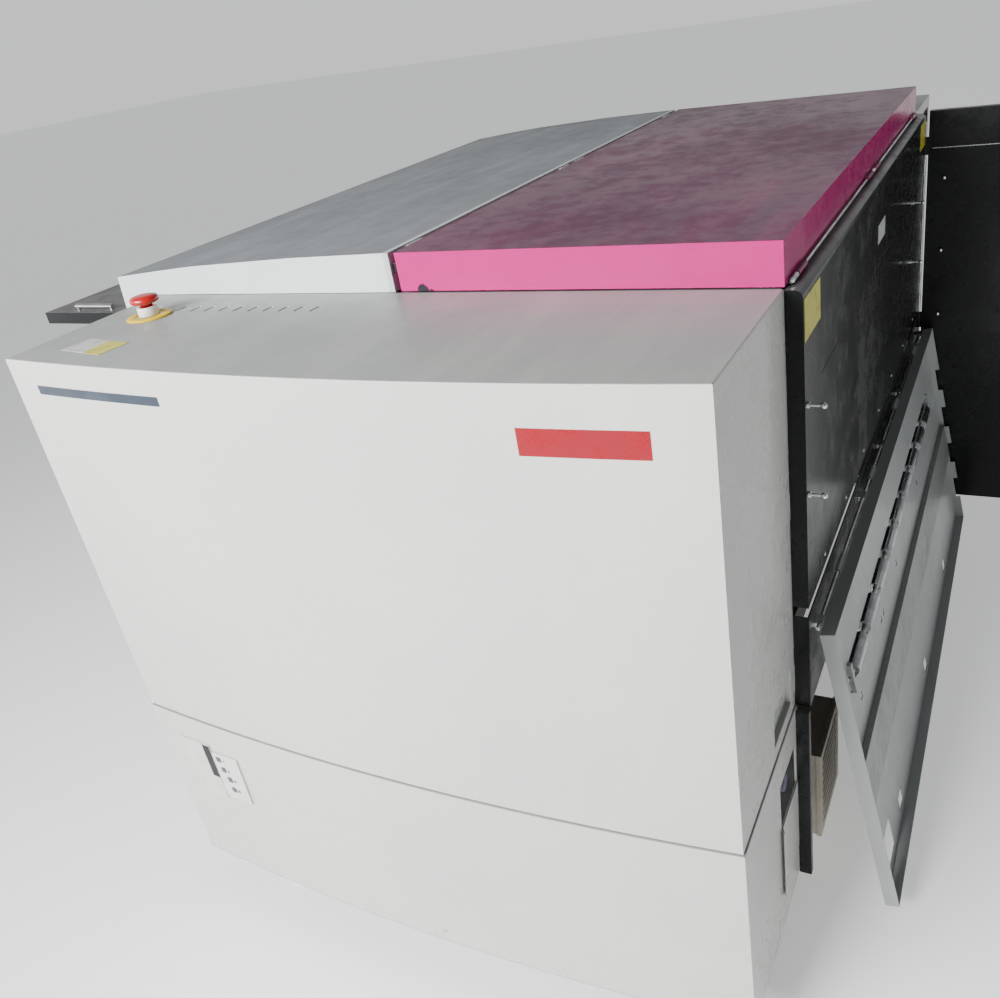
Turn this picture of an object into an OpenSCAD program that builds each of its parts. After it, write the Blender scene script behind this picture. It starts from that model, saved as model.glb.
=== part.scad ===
// Drum-type plate printer with lift-up lids, a feed table and a folding unload table.
// Millimetres. +Z up, +X the unload side, -Y the operator end. Origin on the floor,
// under the middle of the machine.

/* [Overall sizes] */
// Width of the body, from the feed side to the unload side
body_w = 1326; // [1100:1:1600]
// Length of the drum bay between the end modules
bay_len = 1640; // [1300:1:2000]
// Length of each end module
end_len = 375; // [330:1:460]
// How far the end fronts bow out in the middle
bow = 34; // [10:1:60]
// Height of the end covers above the floor
cover_top = 1360; // [1200:1:1500]
// Height of the lid tops above the floor
lid_top = 1433; // [1400:1:1600]
// Height of the joint between upper and lower covers
seam_z = 550; // [450:1:650]
// Height of the covers' bottom edge above the floor
skirt_z = 110; // [70:1:150]
// Sheet thickness of covers, lids and panels
wall = 3; // [2:0.5:5]

// Distance of the frame's long beams from the middle
beam_x = 460; // [350:1:500]

/* [Lids] */
// Where the two lids meet, across the width
lid_split = -50; // [-200:1:100]
// Gap between the two lids
lid_gap = 13.5; // [10:0.5:24]
// How far the grey lid hangs past the feed side
lid_over = 112; // [60:1:160]
// How far the grey lid's top falls at its free edge
lid_fall = 33; // [10:1:50]
// How far the grey lid's free edge reaches below the cover tops
lid_hem = 31; // [15:1:36]
// Gap at each end of the lids
lid_end_gap = 2; // [1:0.5:6]

/* [Hinges] */
// Radius of the lid and door hinge pins
pin_r = 2.5; // [2:0.1:4]
// Radial running clearance in every hinge and roller
run_gap = 0.05; // [0.02:0.01:0.1]
// Radius of the lid and door knuckles
knuckle_r = 4.5; // [4:0.1:6]

/* [Drum] */
// Radius of the drum
drum_r = 205; // [150:1:230]
// Gap between the drum and the bulkhead at each end
drum_end_gap = 58; // [30:1:150]
// Position of the drum axis across the width
drum_x = -80; // [-150:1:0]
// Height of the drum axis
drum_z = 1050; // [950:1:1100]
// Radius of the drum shaft
shaft_r = 25; // [18:1:35]

/* [Exposure carriage] */
// Height of the carriage beam's top
beam_z = 935; // [880:1:960]
// Distance of the lead screw across the width
screw_x = 350; // [320:1:400]
// Radius of the lead screw
screw_r = 8; // [6:0.5:12]
// Space between the carriage rails and the bulkhead at each end
screw_end_gap = 68; // [60:1:150]

/* [Feed table] */
// Reach of the feed table past the middle
table_reach = 1059; // [900:1:1200]
// Height of the feed table's surface
feed_z = 1318; // [1280:1:1330]
// Length of the feed table's handle
grip_len = 120; // [60:1:140]
// Radius of the handle's bar and posts
grip_r = 5; // [3:0.5:8]
// Height of the handle's bar over the table
grip_rise = 8; // [7:0.5:20]
// How far the handle sits off the middle of the open table
grip_shift = 3; // [-20:1:20]
// Gap around a bolt or post in its hole
post_gap = 0.3; // [0.3:0.1:1]

/* [Unload table] */
// Height of the unload table's hinge
fold_z = 715; // [650:1:760]
// Length of the unload table below its hinge
fold_drop = 680; // [500:1:690]
// Angle that the hanging table leans away from the machine
fold_lean = 10.8; // [5:0.1:20]
// Depth of the table's folded edges
fold_lip = 28; // [20:1:40]
// Radius of the table's support rollers
roller_r = 15; // [10:1:18]

/* [Service door] */
// Width of the service door
door_w = 366; // [320:1:366]
// Top of the service door
door_top = 1362; // [1250:1:1370]
// Bottom of the service door
door_bottom = 130; // [120:1:320]

/* [Stop button] */
// Position of the stop button across the width
stop_x = -542; // [-600:1:-480]
// Distance of the stop button from the end of its cover
stop_in = 238; // [100:1:300]
// Radius of the yellow ring under the stop button
ring_r = 44; // [35:1:50]
// Radius of the red mushroom head
head_r = 28; // [20:1:32]
// Travel of the stop button
stop_travel = 6; // [3:0.5:8]

/* [Keypad] */
// Travel of each key
key_travel = 1.2; // [0.5:0.1:2]
// Side of each key
key_size = 13; // [9:0.5:16]

/* [Hidden] */
half_w = body_w / 2;
bay_y = bay_len / 2;
end_y = bay_y + end_len;
bow_r = (half_w * half_w + bow * bow) / (2 * bow);
bow_c = bow_r - end_y - bow;
stop_y = end_y - stop_in;
plate_t = 20;
bulk_y = bay_y - 2 - plate_t;
drum_len = 2 * (bulk_y - drum_end_gap);
screw_len = 2 * (bulk_y - screw_end_gap);
lid_y = bay_y - lid_end_gap;
lid_edge = -half_w - lid_over;
grip_x = (lid_edge - table_reach) / 2 + grip_shift;
grip_y = -bay_y + 30;
grip_half = grip_len / 2 - grip_r;
panel_x = half_w + 29;
proud = 3;
hinge_x = half_w + 6.5;
hinge_z = cover_top + 5;
split_x = lid_split + 5.5;
split_z = lid_top - 5;
bore_r = pin_r + run_gap;
deck_z = 190;
fold_x = half_w + 39;
fold_half = bay_y - 5;
fold_t = 2.5;
web_x = 7;
slit_top = -150;
slit_h = 58;
slit_near = -bay_y + 100;
slit_far = bay_y - 174;
roller_x = 10;
roller_len = 110;
roller_pitch = 145;
hole_pitch = 50;
roller_z = slit_top - slit_h / 2;
exit_z = fold_z + 52;
exit_gap = 0.8;
slot_half = 10;
exit_r = 20;
door_x = half_w + 30;
door_y = bay_y + 8;
lip_d = 24;
screw_z = beam_z + 20;
nut_bore = screw_r + run_gap;
carriage_w = 120;
key_a_x = -484;
key_a_z = 454;
key_b_x = -479;
key_b_z = 426;
key_c_x = -470;
key_c_z = 400;
key_d_x = -469;
key_d_z = 371;
fan_y = bay_y + 190;
fan_z = 480;
$fn = 96;

// Which part to draw, or all of them

// ---- helpers ----

module box(x0, x1, y0, y1, z0, z1) {
  translate([x0, y0, z0]) cube([x1 - x0, y1 - y0, z1 - z0]);
}

module along_y(x, z, r, y0, y1) {
  translate([x, y1, z]) rotate([90, 0, 0]) cylinder(r = r, h = y1 - y0);
}

module along_x(y, z, r, x0, x1) {
  translate([x0, y, z]) rotate([0, 90, 0]) cylinder(r = r, h = x1 - x0);
}

function front_y(x) = bow_c - sqrt(bow_r * bow_r - x * x);
function front_turn(x) = asin(x / bow_r);

// Places a child drawn on the XZ plane, facing -Y, on the bowed near front.
module on_front(x, z, lift) {
  translate([x, front_y(x), z])
    rotate([0, 0, front_turn(x)])
      translate([0, -lift, 0]) children();
}

// Outline of the near end module, seen from above.
module end_outline(inset, extra) {
  intersection() {
    translate([-half_w + inset, -end_y - bow - proud])
      square([body_w - 2 * inset, end_len + bow + proud + extra]);
    translate([0, bow_c]) circle(r = bow_r - inset, $fn = 360);
  }
}

module upper_shell() {
  difference() {
    translate([0, 0, seam_z + 1]) linear_extrude(cover_top - seam_z - 1) end_outline(0, 0);
    translate([0, 0, seam_z]) linear_extrude(cover_top - seam_z - wall) end_outline(wall, 5);
  }
}

module lower_shell() {
  difference() {
    translate([0, 0, skirt_z]) linear_extrude(seam_z - 1 - skirt_z) end_outline(-proud, 0);
    translate([0, 0, skirt_z - 1]) linear_extrude(seam_z - skirt_z - 8) end_outline(0, 5);
    translate([0, 0, skirt_z - 1]) linear_extrude(seam_z - skirt_z + 5) end_outline(18, 5);
  }
}

// Opening in the far covers that the service door closes.
module door_opening() {
  box(half_w - 40, half_w + 10, bay_y + 20, end_y - 30, door_bottom + 25, door_top - 35);
}

// ---- frame ----

module base_frame() {
  color("#3a3d40") {
    for (s = [-1, 1])
      box(s * beam_x - 30, s * beam_x + 30, -end_y + 45, end_y - 45, 110, deck_z);
    for (y = [-end_y + 45, -bay_y + 5, -30, bay_y - 65, end_y - 105])
      box(-beam_x + 29, beam_x - 29, y, y + 60, 115, deck_z - 5);
  }
}

module levelling_feet() {
  color("#8a8d90") for (s = [-1, 1], y = [-end_y + 85, 0, end_y - 85]) {
    translate([s * beam_x, y, 0]) cylinder(r = 45, h = 14);
    translate([s * beam_x, y, 14]) cylinder(r1 = 40, r2 = 20, h = 12);
    translate([s * beam_x, y, 26]) cylinder(r = 12, h = 66);
    translate([s * beam_x, y, 92]) cylinder(r = 20, h = 17.7, $fn = 6);
  }
}

module bulkhead(y0) {
  difference() {
    box(-half_w + 8, half_w - 8, y0, y0 + plate_t, deck_z + 0.5, cover_top - 5);
    along_y(drum_x, drum_z, shaft_r + 45.5, y0 - 1, y0 + plate_t + 1);
    for (s = [-1, 1])
      along_y(half_w - 45, exit_z + s * (exit_r + exit_gap), 7 + run_gap, y0 - 1,
              y0 + plate_t + 1);
    box(-420, 420, y0 - 1, y0 + plate_t + 1, deck_z + 60, 620);
  }
}

module near_bulkhead() { color("#55585b") bulkhead(-bulk_y - plate_t); }

module far_bulkhead() { color("#55585b") bulkhead(bulk_y); }

// ---- covers ----

module near_upper_cover() {
  color("#d9dad6") {
    difference() {
      upper_shell();
      for (i = [0 : 12])
        box(-170 - i * 37.3, -164 - i * 37.3, -end_y + 270, -end_y + 299,
            cover_top - wall - 1, cover_top + 1);
      translate([stop_x, -stop_y, cover_top - wall - 1]) cylinder(r = 16, h = wall + 2);
      box(half_w - wall - 1, half_w + 1, -bay_y - 157, -bay_y - 31, seam_z + 30, seam_z + 106);
    }
    difference() {
      box(half_w - 15, half_w - wall, -bay_y - 160, -bay_y - 28, seam_z + 27, seam_z + 109);
      box(half_w - 12, half_w, -bay_y - 157, -bay_y - 31, seam_z + 30, seam_z + 106);
    }
  }
}

module near_lower_cover() {
  color("#d5d6d2") difference() {
    lower_shell();
    box(half_w - 5, half_w + 5, -bay_y - 145, -bay_y - 24, 374, 470);
    on_front(-550, 409, 0) box(-38, 38, -8, 14, -70, 70);
  }
}

module far_upper_cover() {
  color("#d9dad6") difference() {
    mirror([0, 1, 0]) upper_shell();
    door_opening();
  }
}

module far_lower_cover() {
  color("#d5d6d2") difference() {
    mirror([0, 1, 0]) lower_shell();
    door_opening();
  }
}

module centre_beam() {
  color("#2b2b2d") {
    box(split_x - 3, split_x + 3, -bulk_y + 0.5, bulk_y - 0.5, cover_top - 70, split_z - 14);
    box(split_x - 30, split_x + 30, -bulk_y + 0.5, bulk_y - 0.5, cover_top - 78, cover_top - 70);
    for (y = [-bulk_y + 2, -15, bulk_y - 32]) difference() {
      union() {
        box(split_x - 2.5, split_x + 2.5, y, y + 30, split_z - 14, split_z);
        along_y(split_x, split_z, 3.6, y, y + 30);
      }
      along_y(split_x, split_z, 2, y - 1, y + 31);
    }
    box(split_x - 4, split_x + 4, -lid_y + 6, -bulk_y - 2, split_z - 34, split_z - 16);
    box(split_x - 3, split_x + 3, -bulk_y - 2, -bulk_y + 0.5, split_z - 34, split_z - 20);
  }
}

module rear_beam() {
  color("#55585b") box(half_w - 73, half_w - 8, -bulk_y + 0.5, bulk_y - 0.5,
                       cover_top - 70, cover_top - 8);
}

module front_panel() {
  color("#2f3133") difference() {
    box(-half_w, -half_w + wall, -lid_y, lid_y, deck_z + 10, feed_z - 6);
    for (i = [0 : 9])
      box(-half_w - 1, -half_w + wall + 1, -260 + i * 56, -232 + i * 56, 300, 308);
  }
}

module corner_post() {
  color("#1d1e20") difference() {
    box(half_w + 4, panel_x, -bay_y - 17, -bay_y - 1, skirt_z, seam_z - 5);
    box(half_w + 3, panel_x - 2, -bay_y - 15, -bay_y, skirt_z - 1, seam_z - 7);
  }
}

// ---- lids ----

module grey_profile() {
  polygon([
    [lid_split, cover_top],
    [lid_split, lid_top],
    [lid_split - 234, lid_top - lid_fall * 0.12],
    [lid_split - 491, lid_top - lid_fall * 0.44],
    [lid_split - 592, lid_top - lid_fall * 0.67],
    [lid_edge + 5, lid_top - lid_fall],
    [lid_edge, cover_top - lid_hem],
    [-half_w - 3, cover_top]
  ]);
}

module grey_hollow() {
  polygon([
    [lid_split - wall, cover_top - 80],
    [lid_split - wall, lid_top - wall],
    [lid_split - 234, lid_top - wall - lid_fall * 0.12],
    [lid_split - 491, lid_top - wall - lid_fall * 0.44],
    [lid_split - 592, lid_top - wall - lid_fall * 0.67],
    [lid_edge + wall + 5, lid_top - wall - 0.6 - lid_fall],
    [lid_edge + wall, cover_top - lid_hem],
    [lid_edge + wall, cover_top - 80]
  ]);
}

module grey_lid() {
  color("#c9ced2") difference() {
    union() {
      difference() {
        translate([0, lid_y, 0]) rotate([90, 0, 0]) linear_extrude(2 * lid_y) grey_profile();
        translate([0, lid_y - wall, 0]) rotate([90, 0, 0])
          linear_extrude(2 * (lid_y - wall)) grey_hollow();
      }
      for (y = [-bulk_y + 40, -70, 20, bulk_y - 100]) {
        along_y(split_x, split_z, 3.6, y, y + 50);
        box(lid_split - 0.5, split_x, y, y + 50, split_z - 1.5, split_z + 1.5);
      }
    }
    along_y(split_x, split_z, 2 + run_gap, -bulk_y, bulk_y);
  }
}

module grey_hinge_pin() {
  color("#b5b7ba") along_y(split_x, split_z, 2, -bulk_y + 3, bulk_y - 3);
}

module magenta_lid() {
  color("#d25fa5") difference() {
    union() {
      difference() {
        box(lid_split + lid_gap, half_w + 1, -lid_y, lid_y, cover_top + 2, lid_top);
        box(lid_split + lid_gap + wall, half_w + 1 - wall, -lid_y + wall, lid_y - wall,
            cover_top, lid_top - wall);
      }
      for (y = [-bulk_y + 40, -80, 20, bulk_y - 110]) {
        along_y(hinge_x, hinge_z, knuckle_r, y, y + 60);
        box(half_w + 0.5, hinge_x, y, y + 60, hinge_z - 1.5, hinge_z + 1.5);
      }
    }
    along_y(hinge_x, hinge_z, bore_r, -bulk_y, bulk_y);
  }
}

module rear_hinge_pin() {
  color("#b5b7ba") {
    along_y(hinge_x, hinge_z, pin_r, -bulk_y + 3, bulk_y - 3);
    for (y = [-bulk_y + 5, -15, bulk_y - 35]) {
      difference() {
        union() {
          along_y(hinge_x, hinge_z, knuckle_r, y, y + 30);
          box(half_w - 60, hinge_x, y, y + 30, hinge_z - knuckle_r - 0.5, hinge_z - knuckle_r + 1);
        }
        along_y(hinge_x, hinge_z, pin_r, y - 1, y + 31);
      }
      box(half_w - 60, half_w - 20, y, y + 30, cover_top - 7.7, hinge_z - knuckle_r - 0.5);
    }
  }
}

// ---- unload side ----

module panel_profile(inset) {
  r = 14 - inset;
  translate([half_w + 0.5, seam_z + inset])
    square([28.5 - inset, cover_top - 2 - seam_z - 2 * inset - r]);
  translate([half_w + 0.5, seam_z + inset])
    square([28.5 - inset - r, cover_top - 2 - seam_z - 2 * inset]);
  translate([panel_x - inset - r, cover_top - 2 - inset - r]) circle(r = r);
}

module rear_tray() {
  difference() {
    translate([0, bay_y, 0]) rotate([90, 0, 0]) linear_extrude(2 * bay_y + 2) panel_profile(0);
    translate([-1, bay_y - 2, 0]) rotate([90, 0, 0]) linear_extrude(2 * bay_y - 2)
      panel_profile(2);
  }
}

module rear_panel() {
  color("#1f2022") difference() {
    rear_tray();
    box(half_w, panel_x + 1, -bay_y - 5, bay_y + 5, seam_z - 1, exit_z + slot_half);
    box(panel_x - 1, panel_x + 1, -bay_y + 129, bay_y - 93, cover_top - 189, cover_top - 185);
  }
}

module rear_sill() {
  color("#1f2022") difference() {
    rear_tray();
    box(half_w, panel_x + 1, -bay_y - 5, bay_y + 5, exit_z - slot_half, cover_top);
  }
}

module panel_studs() {
  color("#c0c2c4") for (y = [-bay_y + 8, bay_y - 260], z = [cover_top - 193, cover_top - 356]) {
    along_x(y, z, 6, panel_x + 0.3, panel_x + 5);
    along_x(y, z, 2.6, panel_x + 5, panel_x + 26);
    translate([panel_x + 27, y, z]) sphere(r = 5.5, $fn = 48);
  }
}

module on_table() {
  translate([fold_x, 0, fold_z]) rotate([0, -fold_lean, 0]) children();
}

module table_ear(y) {
  difference() {
    box(2, 18, y, y + 12, slit_top - slit_h - 4, slit_top + 4);
    along_y(roller_x, roller_z, 5 + run_gap, y - 1, y + 13);
  }
}

module table_tray() {
  h = fold_drop;
  hh = fold_half;
  difference() {
    box(web_x, web_x + fold_lip, -hh, hh, -h, 0);
    box(web_x + fold_t, web_x + fold_lip + 1, -hh + fold_t, hh - fold_t, -h + fold_t, -fold_t);
  }
  for (y = [-hh + 215, -200, 200, hh - 215]) {
    along_y(0, 0, 6, y, y + 60);
    box(0, web_x + 0.5, y, y + 60, -3, 3);
  }
}

module unload_table() {
  h = fold_drop;
  hh = fold_half;
  color("#b9bcba") on_table() {
    difference() {
      table_tray();
      along_y(0, 0, 4 + run_gap, -hh, hh);
      box(web_x - 1, web_x + fold_t + 1, slit_near, slit_far, slit_top - slit_h, slit_top);
      for (y = [-660, -390, -361, -150, 275, 471, 499])
        box(web_x - 1, web_x + fold_t + 1, y - 7.5, y + 7.5, -268, -253);
      for (y = [-548, -50, 451])
        box(web_x - 1, web_x + fold_t + 1, y - 20, y + 20, -h + 20, -h + 55);
      box(web_x - 1, web_x + fold_t + 1, -hh + 20, -hh + 150, -h + 20, -h + 100);
      translate([web_x + fold_lip, -hh - 1, -h]) rotate([0, 40, 0])
        translate([0, 0, -60]) cube([40, 2 * hh + 2, 100]);
      for (i = [0 : 3])
        box(web_x + 15, web_x + fold_lip + 1, hh - 5, hh + 1, -210 - i * 130, -140 - i * 130);
    }
    table_ear(slit_near + 8);
    table_ear(slit_far - 20);
  }
}

module table_channel() {
  hh = fold_half;
  color("#8f9290") on_table() difference() {
    box(web_x + fold_t + 0.3, web_x + fold_t + 14, -hh + 6, hh - 6, -442, -330);
    box(web_x + fold_t, web_x + fold_t + 12, -hh + 5, hh - 5, -440, -332);
  }
}

module perforated_strip() {
  color("#5d6062") on_table() difference() {
    box(web_x - 4, web_x - 1, slit_near + 30, slit_far - 30, slit_top - slit_h - 10,
        slit_top - slit_h + 12);
    for (y = [slit_near + 50 : hole_pitch : slit_far - 50])
      translate([web_x - 5, y, slit_top - slit_h + 6])
        rotate([0, 90, 0]) cylinder(r = 3, h = 5);
  }
}

module roller_shaft() {
  color("#c4c6c8") on_table() along_y(roller_x, roller_z, 5, slit_near + 6,
                                                        slit_far - 6);
}

module table_rollers() {
  color("#8d9092") on_table()
    for (y = [slit_near + 40 : roller_pitch : slit_far - 40 - roller_len]) difference() {
      along_y(roller_x, roller_z, roller_r, y, y + roller_len);
      along_y(roller_x, roller_z, 5, y - 1, y + roller_len + 1);
    }
}

module table_hinge() {
  color("#6d7072") {
    along_y(fold_x, fold_z, 4, -fold_half + 20, fold_half - 20);
    for (y = [-fold_half + 30, -300, -30, 300, fold_half - 60]) difference() {
      box(panel_x + 0.3, fold_x + 4.2, y, y + 30, fold_z - 4.8, fold_z + 4.8);
      along_y(fold_x, fold_z, 4, y - 1, y + 31);
    }
  }
}

module exit_roller_top() {
  color("#3b3d40") {
    along_y(half_w - 45, exit_z + exit_r + exit_gap, exit_r, -bulk_y + 30, bulk_y - 30);
    along_y(half_w - 45, exit_z + exit_r + exit_gap, 7, -bulk_y - 12, bulk_y + 12);
  }
}

module exit_roller_bottom() {
  color("#3b3d40") {
    along_y(half_w - 45, exit_z - exit_r - exit_gap, exit_r, -bulk_y + 30, bulk_y - 30);
    along_y(half_w - 45, exit_z - exit_r - exit_gap, 7, -bulk_y - 12, bulk_y + 12);
  }
}

module pump_box() {
  color("#cfc6b2") difference() {
    box(beam_x + 30.5, half_w + 18, -bay_y + 91, -bay_y + 280, skirt_z, 338);
    box(beam_x + 33.5, half_w + 19, -bay_y + 94, -bay_y + 277, skirt_z + 3, 335);
  }
}

module pump_grille() {
  color("#c4bba6") difference() {
    box(half_w + 18.3, panel_x, -bay_y + 88, -bay_y + 283, skirt_z - 1, 341);
    for (i = [0 : 8])
      box(half_w + 18, panel_x + 1, -bay_y + 108, -bay_y + 263, 132 + i * 22, 142 + i * 22);
  }
}

// ---- drum ----

module drum() {
  color("#a9adb0") difference() {
    along_y(drum_x, drum_z, drum_r, -drum_len / 2, drum_len / 2);
    along_y(drum_x, drum_z, drum_r - 12, -drum_len / 2 + 15, drum_len / 2 - 15);
  }
}

module plate_clamps() {
  color("#6d7072") for (a = [75, 255])
    translate([drum_x, 0, drum_z]) rotate([0, -a, 0])
      box(drum_r + 0.3, drum_r + 9, -drum_len / 2 + 30, drum_len / 2 - 30, -18, 18);
}

module drum_shaft() {
  color("#c4c6c8") {
    along_y(drum_x, drum_z, shaft_r, -bay_y - 90, -drum_len / 2);
    along_y(drum_x, drum_z, shaft_r, drum_len / 2, bay_y + 20);
  }
}

module drum_bearings() {
  color("#808386") for (y = [-bulk_y - plate_t, bulk_y]) difference() {
    along_y(drum_x, drum_z, shaft_r + 45, y, y + plate_t);
    along_y(drum_x, drum_z, shaft_r + run_gap, y - 1, y + plate_t + 1);
  }
}

module drum_motor() {
  color("#2e3033") difference() {
    along_y(drum_x, drum_z, 110, -bay_y - 120, -bay_y - 14);
    along_y(drum_x, drum_z, shaft_r + 2, -bay_y - 100, -bay_y);
  }
}

// ---- exposure carriage ----

module rail_beam() {
  color("#6f7376") {
    box(screw_x - 100, screw_x + 100, -bulk_y + 0.5, bulk_y - 0.5, beam_z - 90, beam_z);
    for (s = [-1, 1])
      box(screw_x + s * 75 - 10, screw_x + s * 75 + 10, -screw_len / 2, screw_len / 2,
          beam_z, beam_z + 22);
  }
}

module carriage() {
  color("#9a9da0") difference() {
    union() {
      box(screw_x - 105, screw_x + 105, -carriage_w / 2, carriage_w / 2, beam_z + 38, beam_z + 52);
      for (s = [-1, 1])
        box(screw_x + s * 75 - 24, screw_x + s * 75 + 24, -carriage_w / 2, carriage_w / 2,
            beam_z + 3, beam_z + 40);
      box(screw_x - 18, screw_x + 18, -25, 25, beam_z + 4, beam_z + 40);
    }
    for (s = [-1, 1])
      box(screw_x + s * 75 - 10.4, screw_x + s * 75 + 10.4, -carriage_w, carriage_w,
          beam_z + 2, beam_z + 22.5);
    along_y(screw_x, screw_z, nut_bore, -carriage_w, carriage_w);
  }
}

module laser_head() {
  color("#44484c") {
    box(screw_x - 95, screw_x + 95, -48, 48, beam_z + 52.3, drum_z + 70);
    along_x(0, drum_z, 34, drum_x + drum_r + 45, screw_x - 95);
    along_x(0, drum_z, 22, drum_x + drum_r + 22, drum_x + drum_r + 45);
  }
}

module lead_screw() {
  color("#c4c6c8") along_y(screw_x, screw_z, screw_r, -screw_len / 2 - 30, screw_len / 2 + 18);
}

module screw_blocks() {
  color("#808386") for (y = [-screw_len / 2 - 20, screw_len / 2 + 1]) difference() {
    box(screw_x - 22, screw_x + 22, y, y + 18, beam_z + 0.3, screw_z + 20);
    along_y(screw_x, screw_z, nut_bore, y - 1, y + 19);
  }
}

module screw_motor() {
  color("#2e3033") difference() {
    box(screw_x - 19, screw_x + 19, -bulk_y + 1, -screw_len / 2 - 21, beam_z + 1, screw_z + 19);
    along_y(screw_x, screw_z, screw_r + 1, -screw_len / 2 - 33, 0);
  }
}

// ---- feed side ----

module feed_table() {
  color("#232426") difference() {
    box(-table_reach, -half_w - 1, -bay_y + 6, bay_y - 6, feed_z - 26, feed_z);
    box(-table_reach + wall, -half_w, -bay_y + 6 + wall, bay_y - 6 - wall, feed_z - 27,
        feed_z - wall);
    for (x = [grip_x - grip_half, grip_x + grip_half])
      translate([x, grip_y, feed_z - wall - 1]) cylinder(r = grip_r + post_gap, h = wall + 2);
  }
}

module feed_brackets() {
  color("#2f3133") for (y = [-600, -5, 590])
    translate([0, y + 10, 0]) rotate([90, 0, 0]) linear_extrude(10)
      polygon([
        [-half_w - 1, feed_z - wall - 0.5],
        [-table_reach + 60, feed_z - wall - 0.5],
        [-table_reach + 60, feed_z - 60],
        [-half_w - 1, feed_z - 240]
      ]);
}

module feed_handle() {
  color("#d5d7d9") {
    for (x = [grip_x - grip_half, grip_x + grip_half])
      translate([x, grip_y, feed_z - wall - 6]) cylinder(r = grip_r, h = grip_rise + wall + 6);
    along_x(grip_y, feed_z + grip_rise, grip_r, grip_x - grip_len / 2, grip_x + grip_len / 2);
  }
}

// ---- controls ----

module stop_ring() {
  color("#e6c41f") translate([stop_x, -stop_y, cover_top + 0.3]) difference() {
    union() {
      cylinder(r = ring_r, h = 3);
      cylinder(r = 20, h = 20);
    }
    translate([0, 0, -1]) cylinder(r = 12 + run_gap, h = 30);
  }
}

module stop_button() {
  color("#c8211c") translate([stop_x, -stop_y, cover_top + 0.3]) {
    translate([0, 0, -6]) cylinder(r = 12, h = 34);
    translate([0, 0, 20 + stop_travel + 1]) cylinder(r = head_r, h = 9);
    translate([0, 0, 29 + stop_travel + 1]) cylinder(r1 = head_r, r2 = head_r - 7, h = 7);
  }
}

module stop_contacts() {
  color("#2a2a2c") translate([stop_x, -stop_y, 0]) difference() {
    translate([-19, -24, cover_top - 55]) cube([38, 48, 51]);
    translate([0, 0, cover_top - 22]) cylinder(r = 13.5, h = 40);
  }
}

module control_plate() {
  color("#cfd0cc") on_front(-550, 409, 0) difference() {
    union() {
      box(-46, 46, -5.8, -3.2, -76, 76);
      box(-37, 37, -3.2, 12, -69, 69);
    }
    box(-35, 35, -2.7, 13, -67, 67);
    box(22, 45, -6, 14, -18, 74);
  }
}

module display_window() {
  color("#15161a") on_front(-550, 409, 0) box(22.4, 44.6, -5, -3.3, -17.6, 73.6);
}

module keypad_plate() {
  color("#dcdcd6") difference() {
    on_front(-463, 406, 0) box(-38, 38, -7, -3.3, -64, 64);
    key_pocket(key_a_x, key_a_z);
    key_pocket(key_b_x, key_b_z);
    key_pocket(key_c_x, key_c_z);
    key_pocket(key_d_x, key_d_z);
  }
}

module key_pocket(x, z) {
  on_front(-463, z, 0)
    box(x + 463 - key_size / 2 - 0.4, x + 463 + key_size / 2 + 0.4, -8, -4.2,
        -key_size / 2 - 0.4, key_size / 2 + 0.4);
}

module key_cap(x, z) {
  color("#2c3036") on_front(-463, z, 0)
    box(x + 463 - key_size / 2, x + 463 + key_size / 2, -5.6 - key_travel * 2, -4.6 - key_travel,
        -key_size / 2, key_size / 2);
}

module key_a() { key_cap(key_a_x, key_a_z); }

module key_b() { key_cap(key_b_x, key_b_z); }

module key_c() { key_cap(key_c_x, key_c_z); }

module key_d() { key_cap(key_d_x, key_d_z); }

// ---- services ----

module cable_connector() {
  color("#6d6480") {
    box(half_w - 75, half_w - 60, -bay_y - 150, -bay_y - 20, 365, 480);
    box(half_w - 60, half_w - 20, -bay_y - 105, -bay_y - 55, 395, 450);
    along_x(-bay_y - 80, 422, 17, half_w - 20, half_w - 4);
  }
}

module cable_plate() {
  x0 = half_w + proud + 0.3;
  y0 = -bay_y - 143;
  color("#c3c4c0") translate([0, 0, 192]) linear_extrude(179)
    polygon([
      [x0, -bay_y - 18],
      [x0, y0],
      [x0 + 6.5, y0 - 14],
      [x0 + 8.5, y0 - 13.2],
      [x0 + 2, y0 + 0.8],
      [x0 + 2, -bay_y - 18]
    ]);
}

module service_door() {
  color("#1b1c1e") difference() {
    union() {
      box(door_x + 8, door_x + door_w, door_y - 1.5, door_y + 1.5, door_bottom, door_top);
      box(door_x + 8, door_x + 10, door_y, door_y + lip_d, door_bottom, door_top);
      box(door_x + door_w - 2, door_x + door_w, door_y, door_y + lip_d, door_bottom, door_top);
      box(door_x + 8, door_x + door_w, door_y, door_y + lip_d, door_bottom, door_bottom + 2);
      box(door_x + 8, door_x + door_w, door_y, door_y + lip_d, door_top - 2, door_top);
      for (z = [door_bottom + 60, 720, door_top - 120]) {
        translate([door_x, door_y, z]) cylinder(r = knuckle_r, h = 50);
        box(door_x, door_x + 9, door_y - 1.5, door_y + 1.5, z, z + 50);
      }
      for (z = [556, 765, 964, 1176])
        translate([door_x + 55, door_y - 1, z]) rotate([90, 0, 0]) cylinder(r = 7, h = 6);
    }
    translate([door_x, door_y, door_bottom - 1]) cylinder(r = bore_r, h = door_top);
  }
}

module door_hinge_pin() {
  color("#8b8e90") {
    translate([door_x, door_y, door_bottom + 30]) cylinder(r = pin_r,
                                                           h = door_top - door_bottom - 60);
    for (z = [door_bottom + 115, 775, door_top - 180]) difference() {
      union() {
        translate([door_x, door_y, z]) cylinder(r = knuckle_r, h = 50);
        box(half_w + proud + 0.3, door_x, door_y - 3, door_y + 3, z, z + 50);
      }
      translate([door_x, door_y, z - 1]) cylinder(r = pin_r, h = 52);
    }
  }
}

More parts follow.
